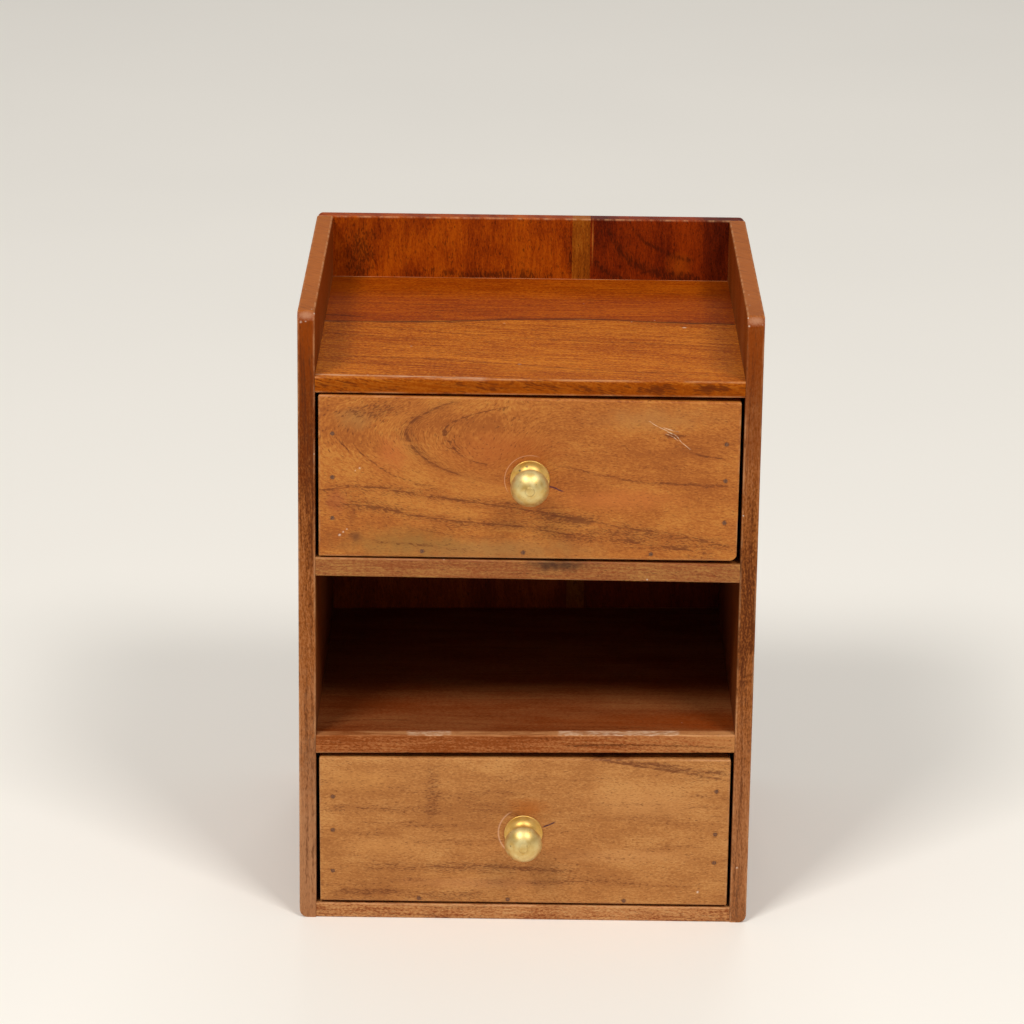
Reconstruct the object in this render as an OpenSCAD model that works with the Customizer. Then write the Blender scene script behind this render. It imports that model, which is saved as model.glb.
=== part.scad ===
// Desktop chest with a tray top, two inset drawers and an open compartment between them.
// Millimetres. X runs to the right, Y to the back, Z up.
// The origin is the middle of the underside. The front of the case faces -Y.

/* [Case] */
// Width over the side boards
case_w = 230; // [200:1:280]
// Depth from the front edges to the rear of the back planks
case_d = 205; // [170:1:260]
// Height of the side boards and of the back
case_h = 323; // [310:1:380]
// Thickness of a side board
side_t = 8.6; // [7:0.1:12]
// Thickness of the back planks
back_t = 8.5; // [6:0.1:12]
// Radius of the eased edges
edge_r = 0.9; // [0.4:0.1:1.5]
// Radius of the outer bottom corner of a side board, seen from the front
foot_r = 4.5; // [2:0.1:6]
// Height of the slanted cut at the front top corner of a side board
corner_cut_h = 5; // [2:0.5:10]
// Depth of the slanted cut at the front top corner of a side board
corner_cut_d = 3; // [1:0.5:10]
// Radius of the top and bottom corners of the back, seen from the front
back_corner_r = 3.5; // [1:0.1:6]

/* [Cross boards] */
// Height of the side boards above the top board
rim_h = 33.3; // [20:0.1:50]
// Thickness of the top board
top_t = 8.3; // [6:0.1:12]
// Distance of the joint of the two top planks from the front: at its left end, its bend, its right end
top_joint = [103.8, 113.8, 107.8]; // [70:0.1:140]
// Place of that bend, to the right of the middle
top_joint_bend_x = 28; // [-60:1:60]
// Height of the bay of the upper drawer
upper_bay_h = 86.4; // [76:0.1:95]
// Thickness of the upper shelf
upper_shelf_t = 9.8; // [7:0.1:13]
// How much higher the right end of the upper shelf sits than its left end
upper_shelf_rise = -1; // [-3:0.1:3]
// Thickness of the lower shelf
lower_shelf_t = 9.7; // [7:0.1:13]
// How much higher the right end of the lower shelf sits than its left end
lower_shelf_rise = 2.9; // [-3:0.1:4]
// Height of the bay of the lower drawer, at the middle of the case
lower_bay_h = 83.9; // [76:0.1:92]
// Thickness of the bottom board
bottom_t = 8; // [6:0.1:12]
// Distance of the front edges of the cross boards behind the side boards
cross_setback = 0.3; // [0:0.1:1]

/* [Back planks] */
// Width of the left back plank
back_left_w = 137.3; // [120:0.1:145]
// Width of the narrow back strip
back_strip_w = 9.7; // [6:0.1:14]
// Width of the right end plank of the back
back_end_w = 22.3; // [16:0.1:30]

/* [Drawers] */
// Thickness of a drawer front
front_t = 9.5; // [7:0.1:13]
// Gap beside a drawer front, each side
front_side_gap = 1.6; // [0.8:0.1:3]
// Gap above the upper drawer front
upper_top_gap = 1.6; // [0.8:0.1:3]
// Gap above the lower drawer front, at its middle
lower_top_gap = 2.9; // [2:0.1:4]
// How much higher the right end of the upper front's top edge is than its left end
upper_front_rise = -1.2; // [-2.5:0.1:2.5]
// How much higher the right end of the lower front's top edge is than its left end
lower_front_rise = 1.5; // [-2.5:0.1:2.5]
// Height of the lower edge of the upper front above the underside of its drawer box
upper_front_lift = 0.5; // [0:0.1:2]
// Height of the lower edge of the lower front above the underside of its drawer box
lower_front_lift = 1; // [0:0.1:2]
// Running gap under a drawer
run_gap = 0.3; // [0.2:0.05:0.6]
// Gap between the rear of a closed drawer and the back planks
rear_gap = 0.4; // [0.3:0.1:5]
// Radius of the eased edges of a drawer front
front_edge_r = 1.3; // [0.5:0.1:2]
// Radius of the worn lower right corner of the upper drawer front
worn_corner_r = 5; // [1.5:0.1:7]
// Thickness of a drawer side
box_side_t = 8; // [6:0.1:9]
// Thickness of a drawer back
box_back_t = 8; // [6:0.1:12]
// Thickness of a drawer bottom
box_bottom_t = 6; // [5.5:0.1:8]
// How far a drawer side stands in from the end of its front
box_inset = 3; // [1.5:0.1:6]
// How far the drawer sides stop below the top edge of the front
box_drop = 8; // [5:0.5:14]

/* [Knobs] */
// Place of the upper knob, to the right of and above the middle of its front
upper_knob_at = [0.5, 0.1]; // [-10:0.1:10]
// Place of the lower knob, to the right of and above the middle of its front
lower_knob_at = [-0.3, -0.9]; // [-10:0.1:10]
// Radius of the foot flange of a knob
knob_foot_r = 9.9; // [8:0.1:13]
// Thickness of the rim of the foot flange
knob_rim_t = 1.1; // [0.6:0.1:2]
// Radius of the neck between flange and head
knob_neck_r = 4.6; // [3.6:0.1:6]
// Radius of the head at its rim
knob_head_r = 9.6; // [8.5:0.1:11]
// Distance of the rim of the head from the drawer front
knob_head_at = 15.2; // [14:0.1:18]
// Radius of the rounding of the rim
knob_edge_r = 0.6; // [0.4:0.1:1.2]
// Radius of the dome in front of the rim
knob_dome_r = 10.6; // [10:0.1:16]
// Diameter of the stud through the knob
stud_d = 4.6; // [3.6:0.1:5]
// Diameter of the washer behind the drawer front
washer_d = 12; // [9:0.5:15]
// Thickness of the washer
washer_t = 1; // [0.6:0.1:1.6]
// Width of the hexagon nut across its flats
nut_af = 8; // [7:0.5:10]
// Thickness of the nut
nut_t = 3.6; // [2.5:0.1:5]
// How far the stud stands out behind the nut
stud_end = 1.6; // [0.5:0.1:4]

/* [Nails] */
// Diameter of a nail
nail_d = 1.4; // [1:0.1:2]
// Diameter of a nail head and of the putty over it
nail_head_d = 2; // [1.8:0.1:3]
// Thickness of a nail head
nail_head_t = 0.8; // [0.5:0.1:1.2]
// Depth of a nail head below the surface, filled with putty
nail_sink = 1; // [0.6:0.1:1.6]
// Depth of a nail head below the surface where it is left bare, on the back and in the drawer boxes
bare_sink = 0.2; // [0:0.1:0.5]
// Length of a nail through a side board
side_nail_l = 27; // [18:1:34]
// Length of a nail through a back plank
back_nail_l = 22; // [16:1:26]
// Length of a nail through a drawer front
front_nail_l = 24; // [18:1:28]
// Length of a nail in a drawer box
box_nail_l = 18; // [14:1:22]
// Distance of the first and last nail of a row from the front and rear of a board
nail_margin = 24; // [18:1:34]
// Nails at the left end of the upper front, above or below its middle
upper_nails_left = [-21.5, -0.2, 22.5]; // [-30:0.1:28]
// Nails at the right end of the upper front, above or below its middle
upper_nails_right = [-21.5, 0.4, 19.4]; // [-30:0.1:28]
// Nails along the foot of the upper front, left or right of its middle
upper_nails_foot = [-53, -2.4, 61.5]; // [-80:0.1:80]
// Height of those nails above the lower edge of the upper front
upper_foot_nail_h = 3.3; // [1.8:0.1:3.6]
// Nails at the left end of the lower front, above or below its middle
lower_nails_left = [-23.1, -0.6, 17.8]; // [-30:0.1:28]
// Nails at the right end of the lower front, above or below its middle
lower_nails_right = [-16.1, -0.4, 23.2]; // [-30:0.1:28]
// Nails along the foot of the lower front, left or right of its middle
lower_nails_foot = [-53.6, -7.9, 51.8]; // [-80:0.1:80]
// Height of those nails above the lower edge of the lower front
lower_foot_nail_h = 2; // [1.8:0.1:3.6]
// Clearance round a nail or a stud in its hole
hole_fit = 0.02; // [0.01:0.01:0.05]

/* [Hidden] */
$fn = 48;

front_y = -case_d / 2;
board_d = case_d - back_t;
back_y = front_y + board_d;
inner_w = case_w - 2 * side_t;
// How far a cut runs past the face that it opens
past = 1;

// Heights of the cross boards, all at the middle of the case
top_top = case_h - rim_h;
top_under = top_top - top_t;
upper_shelf_top = top_under - upper_bay_h;
lower_shelf_under = bottom_t + lower_bay_h;
upper_lean = atan(upper_shelf_rise / inner_w);
lower_lean = atan(lower_shelf_rise / inner_w);

// Edges of the back planks, counted from the left
back_edges = [0, back_left_w, back_left_w + back_strip_w, case_w - back_end_w, case_w];

// A drawer is [height of its underside, lift of its front, height of the top of its front,
// rise of that top, radius of its worn corner, place of its knob,
// nails left, nails right, nails foot, height of the foot nails]
front_w = inner_w - 2 * front_side_gap;
box_w = front_w - 2 * box_inset;
box_d = board_d - front_t - rear_gap;
UPPER = [
    upper_shelf_top + abs(upper_shelf_rise) / 2 + run_gap, upper_front_lift,
    top_under - upper_top_gap, upper_front_rise, worn_corner_r, upper_knob_at,
    upper_nails_left, upper_nails_right, upper_nails_foot, upper_foot_nail_h
];
LOWER = [
    bottom_t + run_gap, lower_front_lift,
    lower_shelf_under - lower_top_gap, lower_front_rise, front_edge_r, lower_knob_at,
    lower_nails_left, lower_nails_right, lower_nails_foot, lower_foot_nail_h
];
function low_of(d) = d[0];
function front_low(d) = d[0] + d[1];
function front_mid(d) = (front_low(d) + d[2]) / 2;
function front_h(d) = d[2] - front_low(d);
function rise_of(d) = d[3];
function worn_of(d) = d[4];
function box_top(d) = d[2] - low_of(d) - box_drop;
function knob_of(d) = [d[5][0], front_y, front_mid(d) + d[5][1]];

// Directions that a nail can be driven in, as turns of the +Z axis
into_right = [0, 90, 0];
into_left = [0, -90, 0];
into_back = [-90, 0, 0];
into_front = [90, 0, 0];
into_top = [0, 0, 0];

// A nail is [point on the surface, direction]
nail_rows = [
    front_y + nail_margin, (front_y + back_y) / 2, back_y - nail_margin
];
side_mid = case_w / 2 - side_t / 2;
function cross_mids(x) = [
    bottom_t / 2,
    lower_shelf_under + lower_shelf_t / 2 + x * tan(lower_lean),
    upper_shelf_top - upper_shelf_t / 2 + x * tan(upper_lean),
    top_top - top_t / 2
];
function mids_between(z) = [for (i = [0:2]) (z[i] + z[i + 1]) / 2];
side_nail_list = [
    for (s = [-1, 1], y = nail_rows, z = cross_mids(s * inner_w / 2))
        [[s * case_w / 2, y, z], s < 0 ? into_right : into_left]
];
plank_nail_step = 35;
function plank_nails(a, b) =
    let (n = max(1, round((b - a) / plank_nail_step)))
    [for (i = [1:1:n]) a + (i - 0.5) * (b - a) / n - case_w / 2];
back_nail_x = concat(
    plank_nails(back_edges[0], back_edges[1]), plank_nails(back_edges[2], back_edges[3])
);
back_nail_points = concat(
    [for (x = back_nail_x, z = cross_mids(x)) [x, back_y + back_t, z]],
    [for (x = [-side_mid, side_mid], z = mids_between(cross_mids(x))) [x, back_y + back_t, z]]
);
back_nail_list = [for (p = back_nail_points) [p, into_front]];
box_side_mid = box_w / 2 - box_side_t / 2;
box_rear = front_y + front_t + box_d;
function front_nail_list(d) = concat(
    [for (z = d[6]) [[-box_side_mid, front_y, front_mid(d) + z], into_back]],
    [for (z = d[7]) [[box_side_mid, front_y, front_mid(d) + z], into_back]],
    [for (x = d[8]) [[x, front_y, front_low(d) + d[9]], into_back]]
);
box_nail_first = front_y + front_nail_l + nail_margin;
box_nail_last = box_rear - nail_margin;
box_nail_rows = [box_nail_first, (box_nail_first + box_nail_last) / 2, box_nail_last];
function box_nail_list(d) = let (
    back_mid = box_rear - box_back_t / 2,
    wall_low = low_of(d) + box_bottom_t,
    wall_h = box_top(d) - box_bottom_t
) concat(
    [for (s = [-1, 1], y = box_nail_rows) [[s * box_side_mid, y, low_of(d)], into_top]],
    [for (s = [-1, 1]) [[s * box_w / 4, back_mid, low_of(d)], into_top]],
    [for (s = [-1, 1], k = [1 / 3, 2 / 3])
        [[s * box_w / 2, back_mid, wall_low + k * wall_h], s < 0 ? into_right : into_left]]
);

// Profile helpers

// Cuts one corner of a profile to a radius, the corner being at the origin and the profile at +X +Y
module corner_cut(r) {
    difference() {
        translate([-past, -past]) square(r + past);
        translate([r, r]) circle(r);
    }
}

// Rectangle with its corners rounded: lower left, lower right, upper right, upper left
module eased_rect(w, h, r) {
    difference() {
        square([w, h]);
        if (r[0] > 0) corner_cut(r[0]);
        if (r[1] > 0) translate([w, 0]) mirror([1, 0]) corner_cut(r[1]);
        if (r[2] > 0) translate([w, h]) mirror([1, 0]) mirror([0, 1]) corner_cut(r[2]);
        if (r[3] > 0) translate([0, h]) mirror([0, 1]) corner_cut(r[3]);
    }
}

// Draws a profile of the XZ plane out along +Y
module along_y(d) {
    translate([0, d, 0]) rotate([90, 0, 0]) linear_extrude(d) children();
}

// Draws a profile of the YZ plane out along +X
module along_x(w) {
    rotate([90, 0, 90]) linear_extrude(w) children();
}

// Nails and their holes

module place_nails(list) {
    for (n = list) translate(n[0]) rotate(n[1]) children();
}

// A nail of length l whose head lies the depth sink below the surface
module nail(l, sink) {
    translate([0, 0, sink]) {
        cylinder(h = nail_head_t, d = nail_head_d);
        cylinder(h = l - sink, d = nail_d);
    }
}

module putty_plug() {
    cylinder(h = nail_sink, d = nail_head_d);
}

module nail_hole(l, sink) {
    translate([0, 0, -past])
        cylinder(h = past + sink + nail_head_t + hole_fit, d = nail_head_d + 2 * hole_fit);
    cylinder(h = l + hole_fit, d = nail_d + 2 * hole_fit);
}

module side_nail_holes() place_nails(side_nail_list) nail_hole(side_nail_l, nail_sink);
module back_nail_holes() place_nails(back_nail_list) nail_hole(back_nail_l, bare_sink);

// Case

module side_board() {
    translate([-case_w / 2, front_y, 0]) intersection() {
        linear_extrude(case_h) eased_rect(side_t, board_d, [edge_r, edge_r, 0, 0]);
        along_y(board_d) eased_rect(side_t, case_h, [foot_r, 0, edge_r, edge_r]);
        along_x(side_t) polygon([
            [0, 0], [board_d, 0], [board_d, case_h],
            [corner_cut_d, case_h], [0, case_h - corner_cut_h]
        ]);
    }
}

module side_left() color("#8f4c22") difference() {
    side_board();
    side_nail_holes();
    back_nail_holes();
}

module side_right() color("#8f4c22") difference() {
    mirror([1, 0, 0]) side_board();
    side_nail_holes();
    back_nail_holes();
}

// A board between the side boards, from y0 to y1 behind the front, its front edges eased by r
module cross_board(y0, y1, t, r) {
    translate([-inner_w / 2, front_y + y0, 0])
        along_x(inner_w) eased_rect(y1 - y0, t, [r, 0, 0, r]);
}

// The part of the top board between its joint and the edge at y
module top_plank(y) {
    intersection() {
        translate([0, 0, top_under]) cross_board(cross_setback, board_d, top_t, edge_r);
        linear_extrude(case_h) polygon([
            [inner_w / 2, y], [-inner_w / 2, y],
            [-inner_w / 2, front_y + top_joint[0]],
            [top_joint_bend_x, front_y + top_joint[1]],
            [inner_w / 2, front_y + top_joint[2]]
        ]);
    }
}

module top_plank_front() color("#a8582a") difference() {
    top_plank(front_y);
    side_nail_holes();
}

module top_plank_rear() color("#94401a") difference() {
    top_plank(back_y);
    side_nail_holes();
    back_nail_holes();
}

// A shelf that leans about the middle of its underside, cut to fit between the side boards
module shelf(under, t, lean) {
    intersection() {
        translate([0, 0, under]) rotate([0, -lean, 0])
            translate([-case_w / 2, front_y + cross_setback, 0])
            along_x(case_w) eased_rect(board_d - cross_setback, t, [edge_r, 0, 0, edge_r]);
        translate([-inner_w / 2, front_y, 0]) cube([inner_w, board_d, case_h]);
    }
}

module upper_shelf() color("#a5633a") difference() {
    shelf(upper_shelf_top - upper_shelf_t, upper_shelf_t, upper_lean);
    side_nail_holes();
    back_nail_holes();
}

module lower_shelf() color("#a5633a") difference() {
    shelf(lower_shelf_under, lower_shelf_t, lower_lean);
    side_nail_holes();
    back_nail_holes();
}

module bottom_board() color("#9a5a30") difference() {
    cross_board(cross_setback, board_d, bottom_t, edge_r);
    side_nail_holes();
    back_nail_holes();
}

// Upright back plank number i, whose outer corners are rounded where it ends the back
module back_plank(i) {
    w = back_edges[i + 1] - back_edges[i];
    left_r = i == 0 ? back_corner_r : 0;
    right_r = i == 3 ? back_corner_r : 0;
    difference() {
        translate([back_edges[i] - case_w / 2, back_y, 0]) intersection() {
            along_y(back_t) eased_rect(w, case_h, [left_r, right_r, right_r, left_r]);
            along_x(w) eased_rect(back_t, case_h, [0, 0, edge_r, edge_r]);
        }
        back_nail_holes();
    }
}

module back_plank_left() color("#7c3412") back_plank(0);
module back_strip() color("#a86a34") back_plank(1);
module back_plank_right() color("#7a300e") back_plank(2);
module back_plank_end() color("#8a4018") back_plank(3);

module side_nails() color("#77736c") place_nails(side_nail_list) nail(side_nail_l, nail_sink);
module side_putty() color("#4a2210") place_nails(side_nail_list) putty_plug();
module back_nails() color("#77736c") place_nails(back_nail_list) nail(back_nail_l, bare_sink);

// Drawers

module drawer_front(d) {
    w = front_w;
    h = front_h(d);
    tall = h + abs(rise_of(d));
    lean = atan(rise_of(d) / w);
    difference() {
        translate([-w / 2, front_y, front_low(d)]) intersection() {
            linear_extrude(tall) eased_rect(w, front_t, [front_edge_r, front_edge_r, 0, 0]);
            along_y(front_t) eased_rect(w, tall, [front_edge_r, worn_of(d), 0, 0]);
            along_x(w) eased_rect(front_t, tall, [front_edge_r, 0, 0, 0]);
            // The top edge, turned to its rise about the middle of the front
            translate([w / 2, 0, h]) rotate([0, -lean, 0]) translate([-w, 0, -2 * h])
                intersection() {
                    along_x(2 * w) eased_rect(front_t, 2 * h, [0, 0, 0, front_edge_r]);
                    translate([w / 2, 0, 0]) along_y(front_t)
                        eased_rect(w, 2 * h, [0, 0, front_edge_r, front_edge_r]);
                }
        }
        front_nail_holes(d);
        translate(knob_of(d)) rotate(into_back) translate([0, 0, -past])
            cylinder(h = front_t + 2 * past, d = stud_d + 2 * hole_fit);
    }
}

module box_side(d) {
    translate([-box_w / 2, front_y + front_t, low_of(d) + box_bottom_t])
        along_y(box_d) eased_rect(box_side_t, box_top(d) - box_bottom_t, [0, 0, edge_r, edge_r]);
}

module front_nail_holes(d) place_nails(front_nail_list(d)) nail_hole(front_nail_l, nail_sink);

module drawer_holes(d) {
    front_nail_holes(d);
    place_nails(box_nail_list(d)) nail_hole(box_nail_l, bare_sink);
}

module box_left(d) difference() {
    box_side(d);
    drawer_holes(d);
}

module box_right(d) difference() {
    mirror([1, 0, 0]) box_side(d);
    drawer_holes(d);
}

module box_back(d) difference() {
    translate([-box_w / 2 + box_side_t, box_rear - box_back_t, low_of(d) + box_bottom_t])
        along_x(box_w - 2 * box_side_t)
        eased_rect(box_back_t, box_top(d) - box_bottom_t, [0, 0, edge_r, edge_r]);
    drawer_holes(d);
}

module box_bottom(d) difference() {
    translate([-box_w / 2, front_y + front_t, low_of(d)]) cube([box_w, box_d, box_bottom_t]);
    drawer_holes(d);
}

// Turned brass knob

function arc(c, r, from, to, n) =
    [for (i = [0:n]) let (a = from + (to - from) * i / n) [c[0] + r * cos(a), c[1] + r * sin(a)]];

// Outline of the knob, as [distance from its axis, distance from the drawer front]
edge_off = knob_head_r - knob_edge_r;
dome_off = knob_dome_r - knob_edge_r;
dome_from = acos(edge_off / dome_off);
dome_c = knob_head_at - dome_off * sin(dome_from);
knob_tip = dome_c + knob_dome_r;
foot_cove_r = knob_foot_r - knob_rim_t / 2 - knob_neck_r;
head_cove_r = edge_off - knob_neck_r;
knob_outline = concat(
    [[0, 0], [knob_foot_r, 0]],
    arc([knob_foot_r - knob_rim_t / 2, knob_rim_t / 2], knob_rim_t / 2, 0, 90, 4),
    arc([knob_neck_r + foot_cove_r, knob_rim_t + foot_cove_r], foot_cove_r, 270, 180, 8),
    arc([knob_neck_r + head_cove_r, knob_head_at - knob_edge_r - head_cove_r], head_cove_r, 180, 90, 8),
    arc([edge_off, knob_head_at], knob_edge_r, -90, dome_from, 6),
    arc([0, dome_c], knob_dome_r, dome_from, 90, 12)
);

module knob(d) {
    translate(knob_of(d)) rotate([90, 0, 0]) difference() {
        rotate_extrude() polygon(knob_outline);
        translate([0, 0, -past]) cylinder(h = knob_tip + 2 * past, d = stud_d + 2 * hole_fit);
    }
}

stud_back = front_t + washer_t + nut_t + stud_end;

module knob_stud(d) {
    translate(knob_of(d)) rotate([90, 0, 0]) translate([0, 0, -stud_back])
        cylinder(h = stud_back + knob_tip, d = stud_d);
}

module knob_washer(d) {
    translate(knob_of(d)) rotate(into_back) translate([0, 0, front_t]) difference() {
        cylinder(h = washer_t, d = washer_d);
        translate([0, 0, -past]) cylinder(h = washer_t + 2 * past, d = stud_d + 2 * hole_fit);
    }
}

module knob_nut(d) {
    translate(knob_of(d)) rotate(into_back) translate([0, 0, front_t + washer_t]) difference() {
        cylinder(h = nut_t, d = nut_af / cos(30), $fn = 6);
        translate([0, 0, -past]) cylinder(h = nut_t + 2 * past, d = stud_d + 2 * hole_fit);
    }
}

module front_nails(d) place_nails(front_nail_list(d)) nail(front_nail_l, nail_sink);
module front_putty(d) place_nails(front_nail_list(d)) putty_plug();
module box_nails(d) place_nails(box_nail_list(d)) nail(box_nail_l, bare_sink);

module upper_front() color("#b5763c") drawer_front(UPPER);
module upper_box_left() color("#b98a58") box_left(UPPER);
module upper_box_right() color("#b98a58") box_right(UPPER);
module upper_box_back() color("#b98a58") box_back(UPPER);
module upper_box_bottom() color("#c09766") box_bottom(UPPER);
module upper_knob() color("#c9b060") knob(UPPER);
module upper_knob_stud() color("#b99a4c") knob_stud(UPPER);
module upper_knob_washer() color("#9c9a94") knob_washer(UPPER);
module upper_knob_nut() color("#9c9a94") knob_nut(UPPER);
module upper_front_nails() color("#77736c") front_nails(UPPER);
module upper_front_putty() color("#3c1c0c") front_putty(UPPER);
module upper_box_nails() color("#77736c") box_nails(UPPER);

module lower_front() color("#b0733c") drawer_front(LOWER);
module lower_box_left() color("#b98a58") box_left(LOWER);
module lower_box_right() color("#b98a58") box_right(LOWER);
module lower_box_back() color("#b98a58") box_back(LOWER);
module lower_box_bottom() color("#c09766") box_bottom(LOWER);
module lower_knob() color("#c9b060") knob(LOWER);
module lower_knob_stud() color("#b99a4c") knob_stud(LOWER);
module lower_knob_washer() color("#9c9a94") knob_washer(LOWER);
module lower_knob_nut() color("#9c9a94") knob_nut(LOWER);
module lower_front_nails() color("#77736c") front_nails(LOWER);
module lower_front_putty() color("#3c1c0c") front_putty(LOWER);
module lower_box_nails() color("#77736c") box_nails(LOWER);

side_left();
side_right();
top_plank_front();
top_plank_rear();
upper_shelf();
lower_shelf();
bottom_board();
back_plank_left();
back_strip();
back_plank_right();
back_plank_end();
side_nails();
side_putty();
back_nails();
upper_front();
upper_box_left();
upper_box_right();
upper_box_back();
upper_box_bottom();
upper_knob();
upper_knob_stud();
upper_knob_washer();
upper_knob_nut();
upper_front_nails();
upper_front_putty();
upper_box_nails();
lower_front();
lower_box_left();
lower_box_right();
lower_box_back();
lower_box_bottom();
lower_knob();
lower_knob_stud();
lower_knob_washer();
lower_knob_nut();
lower_front_nails();
lower_front_putty();
lower_box_nails();
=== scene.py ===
import math

import bmesh
import bpy
from mathutils import Matrix, Vector


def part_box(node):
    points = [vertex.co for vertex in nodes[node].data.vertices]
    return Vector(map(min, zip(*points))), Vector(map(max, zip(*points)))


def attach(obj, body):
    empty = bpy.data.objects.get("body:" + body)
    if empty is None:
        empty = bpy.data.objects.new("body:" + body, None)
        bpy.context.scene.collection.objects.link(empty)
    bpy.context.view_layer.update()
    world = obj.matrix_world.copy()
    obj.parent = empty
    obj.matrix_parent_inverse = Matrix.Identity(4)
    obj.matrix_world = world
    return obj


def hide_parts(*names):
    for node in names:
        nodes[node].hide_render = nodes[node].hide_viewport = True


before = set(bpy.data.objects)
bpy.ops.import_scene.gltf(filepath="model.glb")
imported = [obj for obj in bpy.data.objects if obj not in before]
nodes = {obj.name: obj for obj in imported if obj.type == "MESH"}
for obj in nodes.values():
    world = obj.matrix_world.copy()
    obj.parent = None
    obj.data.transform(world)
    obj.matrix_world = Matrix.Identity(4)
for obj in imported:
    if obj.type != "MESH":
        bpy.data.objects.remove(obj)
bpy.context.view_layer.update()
mm = 0.001
print("frame loaded:", len(nodes), "nodes")


def linearColour(hexText):
    channels = [int(hexText[i:i + 2], 16) / 255 for i in (1, 3, 5)]
    linear = [c / 12.92 if c <= 0.04045 else ((c + 0.055) / 1.055) ** 2.4 for c in channels]
    return (*linear, 1.0)


def addNode(tree, kind, inputs=(), **settings):
    node = tree.nodes.new("ShaderNode" + kind)
    for name, value in settings.items():
        setattr(node, name, value)
    sockets = [s for s in node.inputs if s.enabled]
    named = {s.name: s for s in reversed(sockets)}
    pairs = inputs.items() if isinstance(inputs, dict) else enumerate(inputs)
    for key, value in pairs:
        socket = named[key] if isinstance(key, str) else sockets[key]
        if isinstance(value, bpy.types.Node):
            value = next(s for s in value.outputs if s.enabled)
        if isinstance(value, bpy.types.NodeSocket):
            tree.links.new(value, socket)
        elif value is not None:
            socket.default_value = value
    return node


def newTree(name):
    material = bpy.data.materials.new(name)
    material.use_nodes = True
    material.node_tree.nodes.clear()
    return material, material.node_tree


# Places on a piece, in millimetres: x, y, z, and along, across and through the grain
def woodPlaces(tree, axes, seed):
    metres = addNode(tree, "TexCoord").outputs["Object"]
    point = addNode(tree, "VectorMath", {0: metres, "Scale": 1 / mm}, operation="SCALE")
    split = addNode(tree, "SeparateXYZ", [point])
    places = {"point": point, "seed": seed}
    for name in "xyz":
        places[name] = split.outputs[name.upper()]
    places["along"], places["across"], places["through"] = (places[a] for a in axes)
    return places


# Noise with its own period in mm along the growth lines and across them, from 0 to 1 about 0.5
def grainNoise(tree, places, line, periods, seed=0.0, detail=3.0, rough=0.55):
    along = addNode(
        tree, "Math", [places["along"], 1 / periods[0], places["seed"] + seed], operation="MULTIPLY_ADD")
    across = addNode(tree, "Math", [line, 1 / periods[1], 3.1 * seed], operation="MULTIPLY_ADD")
    depth = addNode(tree, "Math", [places["through"], 1 / max(6.0, 3 * periods[1])], operation="MULTIPLY")
    depth = addNode(tree, "Math", [places["across"], 0.8 / periods[0], depth], operation="MULTIPLY_ADD")
    vector = addNode(tree, "CombineXYZ", [along, across, depth])
    return addNode(tree, "TexNoise", {"Vector": vector, "Scale": 1.0, "Detail": detail, "Roughness": rough})


# How growth lines run where a wood says nothing else, in mm: their waves, their fall along the board
# for each mm, and how far they lean through its thickness
commonFigure = {
    "swayPeriods": (90, 45), "sway": 4.0, "ripplePeriods": (14, 9), "ripple": 0.5, "slope": 0.0,
    "tilt": 0.6,
}


# The growth field: a number in mm that is constant along each growth line
def growthField(tree, places, figure):
    sway = grainNoise(tree, places, places["across"], figure["swayPeriods"], 4.7, 2.0)
    shift = addNode(tree, "Math", [sway, 0.5], operation="SUBTRACT")
    across = addNode(tree, "Math", [shift, 2 * figure["sway"], places["across"]], operation="MULTIPLY_ADD")
    ripple = grainNoise(tree, places, places["across"], figure["ripplePeriods"], 8.3, 1.0)
    shift = addNode(tree, "Math", [ripple, 0.5], operation="SUBTRACT")
    across = addNode(tree, "Math", [shift, 2 * figure["ripple"], across], operation="MULTIPLY_ADD")
    if "apex" in figure:
        a0, c0 = figure["apex"]
        rise = addNode(tree, "Math", [across, c0], operation="SUBTRACT")
        run = addNode(tree, "Math", [places["along"], a0], operation="SUBTRACT")
        square = addNode(tree, "Math", [rise, rise], operation="MULTIPLY")
        bowl = addNode(tree, "Math", [run, -figure["open"], square], operation="MULTIPLY_ADD")
        size = addNode(tree, "Math", [bowl], operation="ABSOLUTE")
        size = addNode(tree, "Math", [size, figure["soft"] ** 2], operation="ADD")
        size = addNode(tree, "Math", [size], operation="SQRT")
        fold = addNode(tree, "Math", [bowl, size], operation="DIVIDE")
        flat = addNode(tree, "Math", [run, figure["fall"], rise], operation="MULTIPLY_ADD")
        flat = addNode(tree, "Math", [flat, -1.0], operation="MULTIPLY")
        past = addNode(tree, "MapRange", [run, *figure["fade"], 0.0, 1.0], interpolation_type="SMOOTHSTEP")
        across = addNode(tree, "Mix", [past, fold, flat], data_type="FLOAT")
    else:
        across = addNode(tree, "Math", [places["along"], figure["slope"], across], operation="MULTIPLY_ADD")
    return addNode(tree, "Math", [places["through"], figure["tilt"], across], operation="MULTIPLY_ADD")


# Noises that the marks of one wood share: periods in mm along and across the grain, or one for all ways
sharedPeriods = {
    "wave": (9, 3), "longWave": (30, 9), "longPatch": (24, 3.5), "patch": (9, 2), "shortPatch": (3, 1),
    "blot": 5.0, "crumb": 0.8,
}


def sharedNoise(tree, places, kind):
    if kind not in places:
        period = sharedPeriods[kind]
        if isinstance(period, tuple):
            places[kind] = grainNoise(tree, places, places["across"], period, len(places), 2.0)
        else:
            places[kind] = addNode(
                tree, "TexNoise", {"Vector": places["point"], "Scale": 1 / period, "Detail": 2.0})
    return places[kind]


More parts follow.
